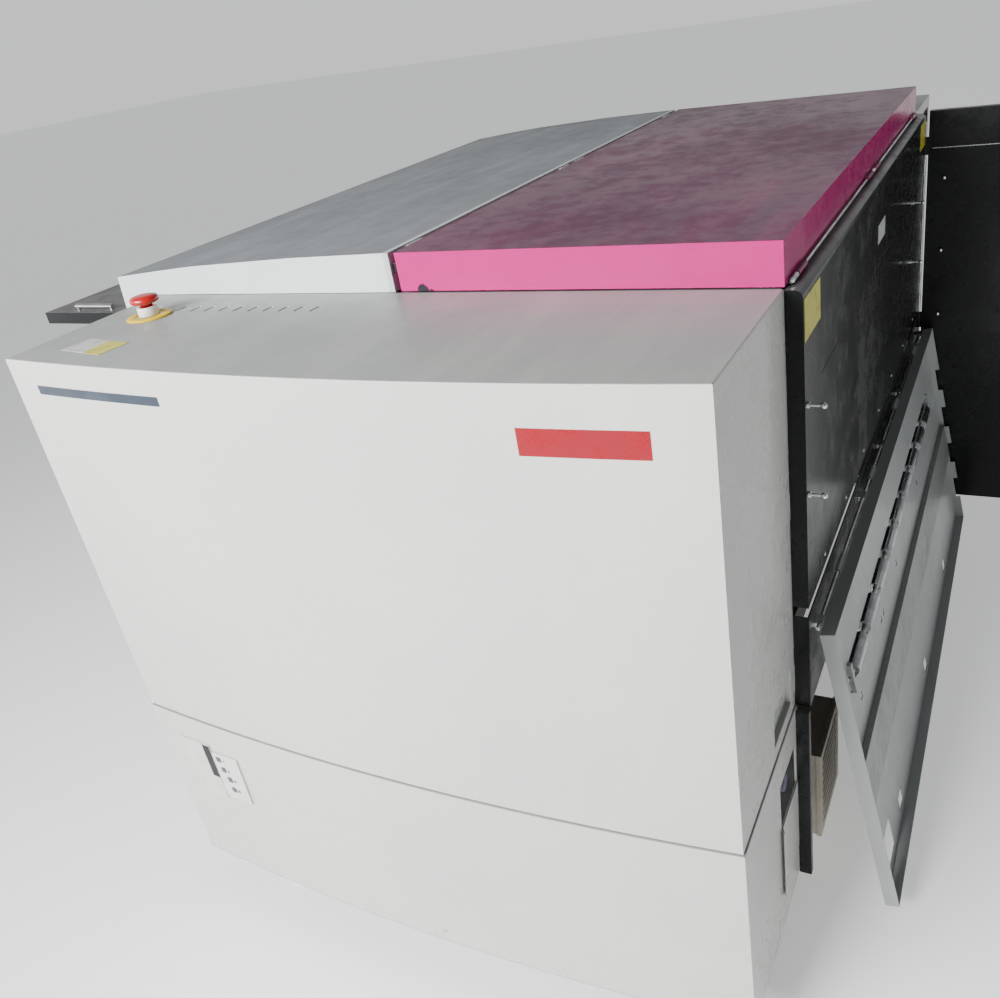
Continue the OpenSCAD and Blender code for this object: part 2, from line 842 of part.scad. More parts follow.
module label_plates() {
  color("#d9c82e") {
    translate([-506, -end_y + 71, cover_top + 0.2]) rotate([0, 0, -8]) box(-60, 60, -31, 31, 0, 0.5);
    box(panel_x + 0.2, panel_x + 0.7, -bay_y + 3, -bay_y + 122, 1273, 1342);
    box(panel_x + 0.2, panel_x + 0.7, bay_y - 122, bay_y - 3, 1273, 1342);
    box(panel_x + 0.2, panel_x + 0.7, -66, 33, 1221, 1262);
  }
}

module electronics() {
  y = bay_y + 100;
  color("#4a6d52") {
    difference() {
      union() {
        box(half_w - 190, half_w - 184, bay_y + 10, end_y - 40, 230, 1300);
        box(half_w - 184, half_w - 100, y, y + 200, 640, 800);
        box(half_w - 184, half_w - 130, y - 20, y + 190, 880, 1180);
        box(half_w - 184, half_w - 100, fan_y - 75, fan_y + 75, fan_z - 75, fan_z + 75);
      }
      along_x(fan_y, fan_z, 68, half_w - 160, half_w - 99);
      along_x(fan_y, fan_z, 60, half_w - 200, half_w - 99);
    }
    along_x(fan_y, fan_z, 20, half_w - 190, half_w - 160);
    along_x(fan_y, fan_z, 8, half_w - 190, half_w - 122);
    box(half_w - 190, half_w - 184, fan_y - 62, fan_y + 62, fan_z - 6, fan_z + 6);
  }
}

module fan_rotor() {
  color("#222325") {
    difference() {
      along_x(fan_y, fan_z, 24, half_w - 158, half_w - 112);
      along_x(fan_y, fan_z, 8 + run_gap, half_w - 159, half_w - 120);
    }
    for (a = [0 : 60 : 300])
      translate([half_w - 135, fan_y, fan_z]) rotate([a, 0, 0])
        translate([0, 0, 38]) rotate([0, 0, 35]) cube([2.5, 34, 36], center = true);
  }
}

base_frame();
levelling_feet();
near_bulkhead();
far_bulkhead();
near_upper_cover();
near_lower_cover();
far_upper_cover();
far_lower_cover();
centre_beam();
rear_beam();
front_panel();
corner_post();
grey_lid();
grey_hinge_pin();
magenta_lid();
rear_hinge_pin();
rear_panel();
rear_sill();
panel_studs();
feed_table();
feed_brackets();
feed_handle();
drum();
plate_clamps();
drum_shaft();
drum_bearings();
drum_motor();
rail_beam();
carriage();
laser_head();
lead_screw();
screw_blocks();
screw_motor();
unload_table();
table_channel();
perforated_strip();
roller_shaft();
table_rollers();
table_hinge();
exit_roller_top();
exit_roller_bottom();
pump_box();
pump_grille();
stop_ring();
stop_button();
stop_contacts();
control_plate();
display_window();
keypad_plate();
key_a();
key_b();
key_c();
key_d();
cable_connector();
cable_plate();
service_door();
door_hinge_pin();
label_plates();
electronics();
fan_rotor();
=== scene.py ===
import math

import bmesh
import bpy
from mathutils import Matrix, Vector


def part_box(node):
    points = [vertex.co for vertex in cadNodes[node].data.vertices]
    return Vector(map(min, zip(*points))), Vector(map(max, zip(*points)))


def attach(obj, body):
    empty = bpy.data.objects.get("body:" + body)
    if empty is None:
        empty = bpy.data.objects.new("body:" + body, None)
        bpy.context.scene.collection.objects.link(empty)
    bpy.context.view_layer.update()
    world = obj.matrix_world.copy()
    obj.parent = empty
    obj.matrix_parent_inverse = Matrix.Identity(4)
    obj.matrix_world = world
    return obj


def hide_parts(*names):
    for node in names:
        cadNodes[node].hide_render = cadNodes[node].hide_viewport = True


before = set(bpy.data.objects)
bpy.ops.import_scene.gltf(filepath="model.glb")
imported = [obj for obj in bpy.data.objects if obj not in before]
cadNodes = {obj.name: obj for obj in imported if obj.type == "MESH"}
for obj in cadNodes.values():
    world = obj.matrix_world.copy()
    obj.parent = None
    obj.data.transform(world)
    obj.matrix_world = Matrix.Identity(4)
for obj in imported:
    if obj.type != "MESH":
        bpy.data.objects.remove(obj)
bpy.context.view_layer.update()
print("frame loaded with", len(cadNodes), "nodes")


# camera, floor and studio light

studio = {
    "cameraPlace": (0.99186, -2.21507, 1.79380),
    "cameraTurn": (62.49347, 8.16914, 25.39158),
    "lens": 33.88,
    "shift": (-0.0458, -0.00875),
    "floorColour": (0.92, 0.93, 0.92, 1),
    "floorGlow": 0.44,
    "skyBright": (0.97, 0.98, 1.0, 1),
    "skySide": (0.30, 0.305, 0.315, 1),
    "skyTop": (0.22, 0.225, 0.235, 1),
    "skyStrength": 0.85,
}


def placeCamera():
    data = bpy.data.cameras.new("studioCamera")
    data.lens = studio["lens"]
    data.sensor_width = 36
    data.shift_x = studio["shift"][0]
    data.shift_y = studio["shift"][1]
    camera = bpy.data.objects.new("studioCamera", data)
    camera.location = studio["cameraPlace"]
    camera.rotation_euler = [math.radians(a) for a in studio["cameraTurn"]]
    bpy.context.scene.collection.objects.link(camera)
    bpy.context.scene.camera = camera


def areaLight(name, place, aim, size, power, spread=180):
    data = bpy.data.lights.new(name, "AREA")
    data.shape = "RECTANGLE"
    data.size = size[0]
    data.size_y = size[1]
    data.energy = power
    data.spread = math.radians(spread)
    lamp = bpy.data.objects.new(name, data)
    lamp.location = place
    direction = Vector(aim) - Vector(place)
    lamp.rotation_euler = direction.to_track_quat("-Z", "Y").to_euler()
    bpy.context.scene.collection.objects.link(lamp)


# small helpers for building materials out of nodes


def newMaterial(name):
    material = bpy.data.materials.new(name)
    material.use_nodes = True
    tree = material.node_tree
    return material, tree, tree.nodes["Principled BSDF"]


def addNode(tree, kind, inputs=None, **settings):
    made = tree.nodes.new(kind)
    for key, value in settings.items():
        setattr(made, key, value)
    for key, value in (inputs or {}).items():
        if isinstance(value, bpy.types.NodeSocket):
            tree.links.new(value, made.inputs[key])
        else:
            made.inputs[key].default_value = value
    return made


def objectPlace(tree):
    return addNode(tree, "ShaderNodeTexCoord").outputs["Object"]


def stretched(tree, vector, scale, turn=(0, 0, 0)):
    angles = tuple(math.radians(a) for a in turn)
    return addNode(tree, "ShaderNodeMapping",
                   {"Vector": vector, "Scale": scale, "Rotation": angles}).outputs[0]


def noise(tree, vector, scale, detail=4.0, roughness=0.55, distortion=0.0):
    return addNode(tree, "ShaderNodeTexNoise",
                   {"Vector": vector, "Scale": scale, "Detail": detail,
                    "Roughness": roughness, "Distortion": distortion}).outputs["Fac"]


def remap(tree, value, low, high, toLow=0.0, toHigh=1.0):
    return addNode(tree, "ShaderNodeMapRange", {0: value, 1: low, 2: high, 3: toLow, 4: toHigh},
                   interpolation_type="SMOOTHSTEP").outputs[0]


def maths(tree, kind, first, second):
    return addNode(tree, "ShaderNodeMath", {0: first, 1: second}, operation=kind).outputs[0]


def mixColour(tree, amount, first, second):
    return addNode(tree, "ShaderNodeMix", {0: amount, 6: first, 7: second},
                   data_type="RGBA").outputs[2]


def upward(tree):
    normal = addNode(tree, "ShaderNodeNewGeometry").outputs["Normal"]
    split = addNode(tree, "ShaderNodeSeparateXYZ", {0: normal})
    return remap(tree, split.outputs[2], 0.55, 0.98)


def nearPoint(tree, place, centre, radius, ragged):
    wobble = noise(tree, place, 60, 5, 0.7)
    gap = addNode(tree, "ShaderNodeVectorMath", {0: place, 1: centre}, operation="DISTANCE")
    edge = maths(tree, "MULTIPLY", wobble, ragged)
    return remap(tree, maths(tree, "ADD", gap.outputs["Value"], edge), radius, radius * 1.12, 1.0, 0.0)


def bump(tree, height, strength, distance, before=None):
    inputs = {"Height": height, "Strength": strength, "Distance": distance}
    if before is not None:
        inputs["Normal"] = before
    return addNode(tree, "ShaderNodeBump", inputs).outputs[0]


# finishes

paintLooks = {
    # the covers' dark top colour is painted shade, darkening their upward faces
    "coverPaint": {
        "base": (0.56, 0.57, 0.54, 1), "shade": (0.51, 0.52, 0.495, 1), "smudgeScale": 1.2,
        "topDustAndShade": (0.20, 0.215, 0.205, 1), "topDustAndShadeAmount": 0.85, "gloss": 0.35,
        "scratch": (0.38, 0.39, 0.38, 1),
        "scratchAmount": 0.04, "rough": (0.24, 0.34), "peel": 0.04, "dent": 0.03, "coat": 0.05,
        "marks": [],
    },
    # the grey lid's dark top colour is painted shade on its upward faces
    "lidGreyPaint": {
        "base": (0.60, 0.63, 0.64, 1), "shade": (0.53, 0.56, 0.57, 1), "smudgeScale": 1.8,
        "topDustAndShade": (0.135, 0.15, 0.16, 1), "topDustAndShadeAmount": 0.94, "gloss": 0.20, "scratch": (0.28, 0.29, 0.30, 1),
        "scratchAmount": 0.30, "rough": (0.30, 0.42), "peel": 0.05, "dent": 0.08, "coat": 0.0,
        # a strip at the lid's end, from the given x onwards, takes one flat mid-grey tone
        "endStripTone": (-0.0625, (0.42, 0.44, 0.45, 1)),
        "marks": [],
    },
    # the magenta lid's dark purple top colour is a painted reflection of a dark ceiling, darkening its top
    "lidMagentaPaint": {
        "base": (0.43, 0.008, 0.15, 1), "shade": (0.38, 0.007, 0.13, 1), "smudgeScale": 2.0,
        "topDustAndShade": (0.050, 0.006, 0.028, 1), "topDustAndShadeAmount": 0.95, "scratch": (0.26, 0.10, 0.19, 1),
        "scratchAmount": 0.30, "rough": (0.18, 0.30), "peel": 0.04, "dent": 0.06, "coat": 0.0,
        "gloss": 0.15,
        "marks": [((0.012, -0.818, 1.363), 0.016, 0.010), ((0.03, -0.818, 1.361), 0.008, 0.008)],
    },
    "blackPaint": {
        "base": (0.0050, 0.0052, 0.0058, 1), "shade": (0.0075, 0.0080, 0.0085, 1),
        "smudgeScale": 1.4, "topDustAndShade": (0.085, 0.084, 0.082, 1), "topDustAndShadeAmount": 0.85,
        "scratch": (0.05, 0.052, 0.052, 1), "scratchAmount": 0.22, "rough": (0.20, 0.34),
        "peel": 0.05, "dent": 0.05, "coat": 0.0, "gloss": 0.22, "marks": [],
    },
    "tablePaint": {
        "base": (0.35, 0.37, 0.365, 1), "shade": (0.32, 0.335, 0.33, 1), "smudgeScale": 2.0,
        "topDustAndShade": (0.32, 0.33, 0.32, 1), "topDustAndShadeAmount": 0.3, "scratch": (0.42, 0.43, 0.42, 1),
        "scratchAmount": 0.12, "rough": (0.30, 0.44), "peel": 0.05, "dent": 0.06, "coat": 0.1,
        "marks": [],
    },
    "channelPaint": {
        "base": (0.24, 0.25, 0.245, 1), "shade": (0.19, 0.20, 0.195, 1), "smudgeScale": 3.0,
        "topDustAndShade": (0.30, 0.31, 0.30, 1), "topDustAndShadeAmount": 0.4, "scratch": (0.45, 0.46, 0.45, 1),
        "scratchAmount": 0.3, "rough": (0.34, 0.5), "peel": 0.07, "dent": 0.06, "coat": 0.05,
        "marks": [],
    },
    "framePaint": {
        "base": (0.07, 0.075, 0.08, 1), "shade": (0.045, 0.048, 0.05, 1), "smudgeScale": 4.0,
        "topDustAndShade": (0.22, 0.215, 0.20, 1), "topDustAndShadeAmount": 0.7, "scratch": (0.30, 0.30, 0.30, 1),
        "scratchAmount": 0.3, "rough": (0.40, 0.62), "peel": 0.16, "dent": 0.05, "coat": 0.0,
        "marks": [],
    },
    "pumpPaint": {
        "base": (0.50, 0.45, 0.36, 1), "shade": (0.40, 0.36, 0.29, 1), "smudgeScale": 7.0,
        "topDustAndShade": (0.33, 0.30, 0.25, 1), "topDustAndShadeAmount": 0.6, "scratch": (0.25, 0.22, 0.17, 1),
        "scratchAmount": 0.3, "rough": (0.35, 0.55), "peel": 0.12, "dent": 0.05, "coat": 0.0,
        "marks": [],
    },
    "motorPaint": {
        "base": (0.020, 0.021, 0.024, 1), "shade": (0.035, 0.036, 0.04, 1), "smudgeScale": 9.0,
        "topDustAndShade": (0.10, 0.10, 0.10, 1), "topDustAndShadeAmount": 0.5, "scratch": (0.2, 0.2, 0.2, 1),
        "scratchAmount": 0.2, "rough": (0.35, 0.55), "peel": 0.2, "dent": 0.03, "coat": 0.0,
        "marks": [],
    },
}


def paintFinish(name):
    look = paintLooks[name]
    material, tree, surface = newMaterial(name)
    place = objectPlace(tree)
    smudge = remap(tree, noise(tree, place, look["smudgeScale"], 5, 0.6, 0.4), 0.35, 0.68)
    fine = remap(tree, noise(tree, place, look["smudgeScale"] * 11, 7, 0.65), 0.35, 0.7)
    topStreaks = noise(tree, stretched(tree, place, (7, 1.2, 7), (0, 0, 12)), 1.6, 6, 0.6, 0.6)
    colour = mixColour(tree, smudge, look["base"], look["shade"])
    # upward faces take a streaked top colour: on the covers and both lids it is painted shade, much darker
    # than the paint; on the other finishes it is dust
    topDustAndShadeMask = maths(tree, "MULTIPLY", upward(tree), remap(tree, topStreaks, 0.2, 0.62, 0.86, 1.0))
    topDustAndShadeMask = maths(tree, "MULTIPLY", topDustAndShadeMask, look["topDustAndShadeAmount"])
    colour = mixColour(tree, topDustAndShadeMask, colour, look["topDustAndShade"])
    lineA = noise(tree, stretched(tree, place, (1.4, 62, 62), (0, 28, 31)), 3.0, 2, 0.5)
    lineB = noise(tree, stretched(tree, place, (70, 2.1, 70), (24, 0, -19)), 2.4, 2, 0.5)
    scratched = maths(tree, "MAXIMUM", remap(tree, lineA, 0.735, 0.76),
                      remap(tree, lineB, 0.745, 0.77))
    patches = remap(tree, noise(tree, place, 4.2, 3), 0.5, 0.62)
    scratched = maths(tree, "MULTIPLY", scratched, patches)
    scratched = maths(tree, "MULTIPLY", scratched, look["scratchAmount"])
    colour = mixColour(tree, scratched, colour, look["scratch"])
    # one flat mid-grey tone is laid in a strip at the lid's end, over the paint and the darker top
    if "endStripTone" in look:
        start, tone = look["endStripTone"]
        across = addNode(tree, "ShaderNodeSeparateXYZ", {0: place}).outputs[0]
        edgeStrip = remap(tree, across, start, start + 0.0015)
        colour = mixColour(tree, edgeStrip, colour, tone)
    for centre, radius, ragged in look["marks"]:
        chipped = nearPoint(tree, place, centre, radius, ragged)
        colour = mixColour(tree, chipped, colour, (0.015, 0.012, 0.02, 1))
    tree.links.new(colour, surface.inputs["Base Color"])
    low, high = look["rough"]
    rough = remap(tree, maths(tree, "ADD", smudge, fine), 0.2, 1.7, low, high)
    rough = maths(tree, "ADD", rough, maths(tree, "MULTIPLY", topDustAndShadeMask, 0.16))
    tree.links.new(rough, surface.inputs["Roughness"])
    surface.inputs["Specular IOR Level"].default_value = look.get("gloss", 0.5)
    surface.inputs["Coat Weight"].default_value = look["coat"]
    surface.inputs["Coat Roughness"].default_value = 0.12
    peel = noise(tree, place, 420, 3, 0.5)
    wave = noise(tree, place, 2.2, 2, 0.4)
    normal = bump(tree, wave, look["dent"], 0.02)
    normal = bump(tree, peel, look["peel"], 0.0006, normal)
    tree.links.new(normal, surface.inputs["Normal"])
    return material


metalLooks = {
    "brushedSteel": {"base": (0.52, 0.53, 0.54, 1), "dull": (0.36, 0.36, 0.37, 1),
                     "rough": (0.24, 0.42), "grain": (260, 4, 260), "depth": 0.25},
    "brightChrome": {"base": (0.82, 0.83, 0.85, 1), "dull": (0.60, 0.61, 0.62, 1),
                     "rough": (0.06, 0.16), "grain": (60, 60, 60), "depth": 0.04},
    "turnedAluminium": {"base": (0.62, 0.64, 0.66, 1), "dull": (0.48, 0.49, 0.51, 1),
                        "rough": (0.38, 0.50), "grain": (3, 420, 3), "depth": 0.03},
}


def metalFinish(name):
    look = metalLooks[name]
    material, tree, surface = newMaterial(name)
    place = objectPlace(tree)
    grain = noise(tree, stretched(tree, place, look["grain"]), 1.0, 5, 0.6)
    stain = remap(tree, noise(tree, place, 14, 5, 0.6, 0.5), 0.4, 0.7)
    colour = mixColour(tree, stain, look["base"], look["dull"])
    tree.links.new(colour, surface.inputs["Base Color"])
    low, high = look["rough"]
    rough = remap(tree, maths(tree, "ADD", grain, stain), 0.3, 1.5, low, high)
    tree.links.new(rough, surface.inputs["Roughness"])
    surface.inputs["Metallic"].default_value = 1.0
    tree.links.new(bump(tree, grain, look["depth"], 0.0004), surface.inputs["Normal"])
    return material


plasticLooks = {
    "stopYellow": {"base": (0.66, 0.44, 0.006, 1), "worn": (0.52, 0.36, 0.02, 1),
                   "rough": (0.38, 0.50), "grain": 500, "depth": 0.05, "coat": 0.0,
                   "gloss": 0.20},
    "stopRed": {"base": (0.42, 0.006, 0.006, 1), "worn": (0.32, 0.006, 0.006, 1),
                "rough": (0.20, 0.38), "grain": 650, "depth": 0.06, "coat": 0.3},
    "darkPlastic": {"base": (0.022, 0.022, 0.024, 1), "worn": (0.045, 0.045, 0.045, 1),
                    "rough": (0.42, 0.6), "grain": 900, "depth": 0.25, "coat": 0.0},
    "panelPlate": {"base": (0.58, 0.59, 0.56, 1), "worn": (0.50, 0.51, 0.48, 1),
                   "rough": (0.34, 0.48), "grain": 700, "depth": 0.12, "coat": 0.0},
    "displayBlack": {"base": (0.006, 0.006, 0.008, 1), "worn": (0.016, 0.017, 0.019, 1),
                     "rough": (0.28, 0.40), "grain": 90, "depth": 0.02, "coat": 0.0,
                     "gloss": 0.12},
    "keypadFilm": {"base": (0.66, 0.67, 0.64, 1), "worn": (0.57, 0.58, 0.55, 1),
                   "rough": (0.36, 0.52), "grain": 1100, "depth": 0.18, "coat": 0.0},
    "keyPlastic": {"base": (0.030, 0.042, 0.055, 1), "worn": (0.07, 0.08, 0.09, 1),
                   "rough": (0.30, 0.46), "grain": 1200, "depth": 0.15, "coat": 0.1},
    "connectorPlastic": {"base": (0.13, 0.11, 0.20, 1), "worn": (0.21, 0.19, 0.27, 1),
                         "rough": (0.35, 0.5), "grain": 500, "depth": 0.12, "coat": 0.0},
    "rollerRubber": {"base": (0.020, 0.020, 0.022, 1), "worn": (0.05, 0.05, 0.05, 1),
                     "rough": (0.55, 0.75), "grain": 700, "depth": 0.3, "coat": 0.0},
    "boardGreen": {"base": (0.03, 0.12, 0.05, 1), "worn": (0.10, 0.13, 0.08, 1),
                   "rough": (0.35, 0.5), "grain": 160, "depth": 0.3, "coat": 0.2},
    "accentRed": {"base": (0.27, 0.003, 0.012, 1), "worn": (0.23, 0.003, 0.011, 1),
                  "rough": (0.25, 0.4), "grain": 600, "depth": 0.04, "coat": 0.2},
    "accentSlate": {"base": (0.030, 0.040, 0.060, 1), "worn": (0.05, 0.06, 0.08, 1),
                    "rough": (0.28, 0.42), "grain": 600, "depth": 0.04, "coat": 0.1},
    "printGrey": {"base": (0.10, 0.105, 0.11, 1), "worn": (0.14, 0.145, 0.15, 1),
                  "rough": (0.4, 0.55), "grain": 900, "depth": 0.05, "coat": 0.0},
    "collarWhite": {"base": (0.74, 0.74, 0.72, 1), "worn": (0.60, 0.60, 0.58, 1),
                    "rough": (0.25, 0.4), "grain": 800, "depth": 0.05, "coat": 0.2},
}


def plasticFinish(name):
    look = plasticLooks[name]
    material, tree, surface = newMaterial(name)
    place = objectPlace(tree)
    wear = remap(tree, noise(tree, place, 22, 6, 0.65, 0.3), 0.42, 0.72)
    grain = noise(tree, place, look["grain"], 3, 0.5)
    colour = mixColour(tree, wear, look["base"], look["worn"])
    tree.links.new(colour, surface.inputs["Base Color"])
    low, high = look["rough"]
    rough = remap(tree, maths(tree, "ADD", wear, grain), 0.3, 1.4, low, high)
    tree.links.new(rough, surface.inputs["Roughness"])
    surface.inputs["Specular IOR Level"].default_value = look.get("gloss", 0.5)
    surface.inputs["Coat Weight"].default_value = look["coat"]
    surface.inputs["Coat Roughness"].default_value = 0.1
    tree.links.new(bump(tree, grain, look["depth"], 0.0003), surface.inputs["Normal"])
    return material


def labelFinish():
    material, tree, surface = newMaterial("labelFilm")
    place = objectPlace(tree)
    parts = addNode(tree, "ShaderNodeSeparateXYZ", {0: place})
    wear = remap(tree, noise(tree, place, 30, 6, 0.7), 0.45, 0.7)
    yellow = mixColour(tree, wear, (0.55, 0.50, 0.03, 1), (0.40, 0.36, 0.05, 1))
    silver = mixColour(tree, wear, (0.50, 0.51, 0.50, 1), (0.38, 0.39, 0.38, 1))
    onCover = remap(tree, parts.outputs[2], 1.359, 1.3595)
    leftHalf = remap(tree, parts.outputs[0], -0.502, -0.500, 1.0, 0.0)
    small = remap(tree, parts.outputs[1], -0.20, -0.199)
    smallFar = remap(tree, parts.outputs[1], 0.20, 0.201, 1.0, 0.0)
    silverHere = maths(tree, "MAXIMUM", maths(tree, "MULTIPLY", onCover, leftHalf),
                       maths(tree, "MULTIPLY", small, smallFar))
    colour = mixColour(tree, silverHere, yellow, silver)
    turned = stretched(tree, place, (1, 1, 1), (0, 0, 8))
    rows = addNode(tree, "ShaderNodeTexWave",
                   {"Vector": turned, "Scale": 36.0, "Distortion": 0.0},
                   bands_direction="Y").outputs["Fac"]
    columns = noise(tree, stretched(tree, place, (520, 60, 90)), 1.0, 2, 0.5)
    printed = maths(tree, "MULTIPLY", remap(tree, rows, 0.62, 0.7), remap(tree, columns, 0.45, 0.5))
    printed = maths(tree, "MULTIPLY", printed, onCover)
    colour = mixColour(tree, maths(tree, "MULTIPLY", printed, 0.6), colour, (0.08, 0.08, 0.07, 1))
    tree.links.new(colour, surface.inputs["Base Color"])
    tree.links.new(remap(tree, wear, 0, 1, 0.32, 0.5), surface.inputs["Roughness"])
    tree.links.new(bump(tree, noise(tree, place, 90, 4), 0.1, 0.0005), surface.inputs["Normal"])
    return material


def floorFinish():
    material, tree, surface = newMaterial("floorPaper")
    place = objectPlace(tree)
    cloud = remap(tree, noise(tree, place, 0.6, 3), 0.3, 0.7)
    darker = tuple(c * 0.985 for c in studio["floorColour"][:3]) + (1,)
    tree.links.new(mixColour(tree, cloud, studio["floorColour"], darker),
                   surface.inputs["Base Color"])
    surface.inputs["Roughness"].default_value = 0.85
    surface.inputs["Emission Color"].default_value = studio["floorColour"]
    surface.inputs["Emission Strength"].default_value = studio["floorGlow"]
    return material


finishes = {}
for finishName in paintLooks:
    finishes[finishName] = paintFinish(finishName)
for finishName in metalLooks:
    finishes[finishName] = metalFinish(finishName)
for finishName in plasticLooks:
    finishes[finishName] = plasticFinish(finishName)
finishes["labelFilm"] = labelFinish()
print("finishes made:", len(finishes))


# dressing the frame's own parts

dressing = {
    "coverPaint": ["near_upper_cover", "near_lower_cover", "far_upper_cover", "far_lower_cover",
                   "cable_plate"],
    "lidGreyPaint": ["grey_lid"],
    "lidMagentaPaint": ["magenta_lid"],
    "blackPaint": ["rear_panel", "rear_sill", "corner_post", "service_door", "front_panel", "feed_table",
                   "feed_brackets", "centre_beam"],
    "tablePaint": ["unload_table"],
    "channelPaint": ["table_channel"],
    "framePaint": ["base_frame", "near_bulkhead", "far_bulkhead", "rear_beam", "rail_beam"],
    "pumpPaint": ["pump_box", "pump_grille"],
    "motorPaint": ["drum_motor", "laser_head", "screw_motor"],
    "brushedSteel": ["levelling_feet", "grey_hinge_pin", "rear_hinge_pin", "plate_clamps",
                     "drum_shaft", "drum_bearings", "lead_screw", "perforated_strip",
                     "roller_shaft", "table_rollers", "table_hinge", "door_hinge_pin"],
    "brightChrome": ["panel_studs", "feed_handle"],
    "turnedAluminium": ["drum", "carriage", "screw_blocks"],
    "rollerRubber": ["exit_roller_top", "exit_roller_bottom"],
    "stopYellow": ["stop_ring"],
    "stopRed": ["stop_button"],
    "darkPlastic": ["stop_contacts", "fan_rotor"],
    "panelPlate": ["control_plate"],
    "displayBlack": ["display_window"],
    "keypadFilm": ["keypad_plate"],
    "keyPlastic": ["key_a", "key_b", "key_c", "key_d"],
    "connectorPlastic": ["cable_connector"],
    "labelFilm": ["label_plates"],
    "boardGreen": ["electronics"],
}

edgeWidths = {
    "near_upper_cover": 0.0035, "near_lower_cover": 0.0030, "far_upper_cover": 0.0035,
    "far_lower_cover": 0.0030, "grey_lid": 0.0026, "magenta_lid": 0.0024,
    "rear_panel": 0.0016, "rear_sill": 0.0016,
    "service_door": 0.0010, "unload_table": 0.0011,
    "key_a": 0.0004, "key_b": 0.0004, "key_c": 0.0004, "key_d": 0.0004, "label_plates": 0.0001,
    "display_window": 0.0004, "keypad_plate": 0.0008, "control_plate": 0.0008,
    "perforated_strip": 0.0003, "cable_plate": 0.0005, "table_channel": 0.0006,
}


# the pierced flat sheet keeps its plain faces, so its wide top shades evenly
plainSheets = ["feed_table"]


def roundEdges(piece, width):
    weld = piece.modifiers.new("weldSeams", "WELD")
    weld.merge_threshold = 0.00001
    edge = piece.modifiers.new("softEdge", "BEVEL")
    edge.width = width
    edge.segments = 2
    edge.limit_method = "ANGLE"
    edge.angle_limit = math.radians(38)
    edge.harden_normals = True
    shade = piece.modifiers.new("evenShade", "WEIGHTED_NORMAL")
    shade.keep_sharp = True


for finishName, members in dressing.items():
    for member in members:
        piece = cadNodes[member]
        piece.data.materials.clear()
        piece.data.materials.append(finishes[finishName])
        if member in plainSheets:
            piece.data.polygons.foreach_set("use_smooth", [False] * len(piece.data.polygons))
            continue
        roundEdges(piece, edgeWidths.get(member, 0.0010))
print("frame parts dressed")


# helpers for added pieces


def addPiece(name, mesh, finish, body, edge=0.0, smooth=True):
    for polygon in mesh.polygons:
        polygon.use_smooth = smooth
    piece = bpy.data.objects.new(name, mesh)
    bpy.context.scene.collection.objects.link(piece)
    mesh.materials.append(finishes[finish])
    if edge > 0:
        roundEdges(piece, edge)
    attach(piece, body)
    return piece


def meshFrom(build, name):
    shape = bmesh.new()
    build(shape)
    bmesh.ops.recalc_face_normals(shape, faces=shape.faces[:])
    mesh = bpy.data.meshes.new(name)
    shape.to_mesh(mesh)
    shape.free()
    return mesh


# the profile runs from axis to axis, so the turned piece is closed
def lathe(profile, place, turn=None, steps=40):
    turnMatrix = turn or Matrix.Identity(4)

    def build(shape):
        rings = []
        for radius, height in profile:
            if radius < 1e-6:
                point = turnMatrix @ Vector((0, 0, height))
                rings.append([shape.verts.new(point + Vector(place))])
                continue
            ring = []
            for step in range(steps):
                angle = 2 * math.pi * step / steps
                point = Vector((radius * math.cos(angle), radius * math.sin(angle), height))
                ring.append(shape.verts.new(turnMatrix @ point + Vector(place)))
            rings.append(ring)
        for lower, upper in zip(rings, rings[1:]):
            for step in range(steps):
                following = (step + 1) % steps
                if len(lower) == 1:
                    shape.faces.new((lower[0], upper[step], upper[following]))
                elif len(upper) == 1:
                    shape.faces.new((lower[step], lower[following], upper[0]))
                else:
                    shape.faces.new((lower[step], lower[following], upper[following], upper[step]))
    return build


def slab(corners, lift):
    def build(shape):
        low = [shape.verts.new(Vector(c)) for c in corners]
        high = [shape.verts.new(Vector(c) + Vector(lift)) for c in corners]
        count = len(low)
        shape.faces.new(low)
        shape.faces.new(list(reversed(high)))
        for step in range(count):
            following = (step + 1) % count
            shape.faces.new((low[step], high[step], high[following], low[following]))
    return build


def together(builders):
    def build(shape):
        for builder in builders:
            builder(shape)
    return build


# the emergency stop: a domed red cap, a ribbed collar and a yellow ring

stopLook = {
    "ringRadius": 0.044,
    "ringHeight": 0.0030,
    "collarRadius": 0.0197,
    "ribDepth": 0.0005,
    "ribs": 36,
    "hole": 0.0122,
}


def stopCentre(node):
    low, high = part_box(node)
    return (low.x + high.x) / 2, (low.y + high.y) / 2, low.z, high.z


def ribbedCollar(centre, low, high):
    steps = stopLook["ribs"] * 4

    def build(shape):
        rings = []
        levels = [(low, 0), (low + 0.001, 1), (high - 0.002, 1), (high, 0)]
        for level, ribbed in levels:
            ring = []
            for step in range(steps):
                angle = 2 * math.pi * step / steps
                cut = stopLook["ribDepth"] if step % 4 in (2, 3) else 0.0
                radius = stopLook["collarRadius"] - (cut if ribbed else 0.0007)
                ring.append(shape.verts.new((centre[0] + radius * math.cos(angle),
                                             centre[1] + radius * math.sin(angle), level)))
            rings.append(ring)
        for level in (high, low):
            ring = []
            for step in range(steps):
                angle = 2 * math.pi * step / steps
                ring.append(shape.verts.new((centre[0] + stopLook["hole"] * math.cos(angle),
                                             centre[1] + stopLook["hole"] * math.sin(angle),
                                             level)))
            rings.append(ring)
        for lower, upper in zip(rings, rings[1:] + rings[:1]):
            for step in range(steps):
                after = (step + 1) % steps
                shape.faces.new((lower[step], lower[after], upper[after], upper[step]))
    return build


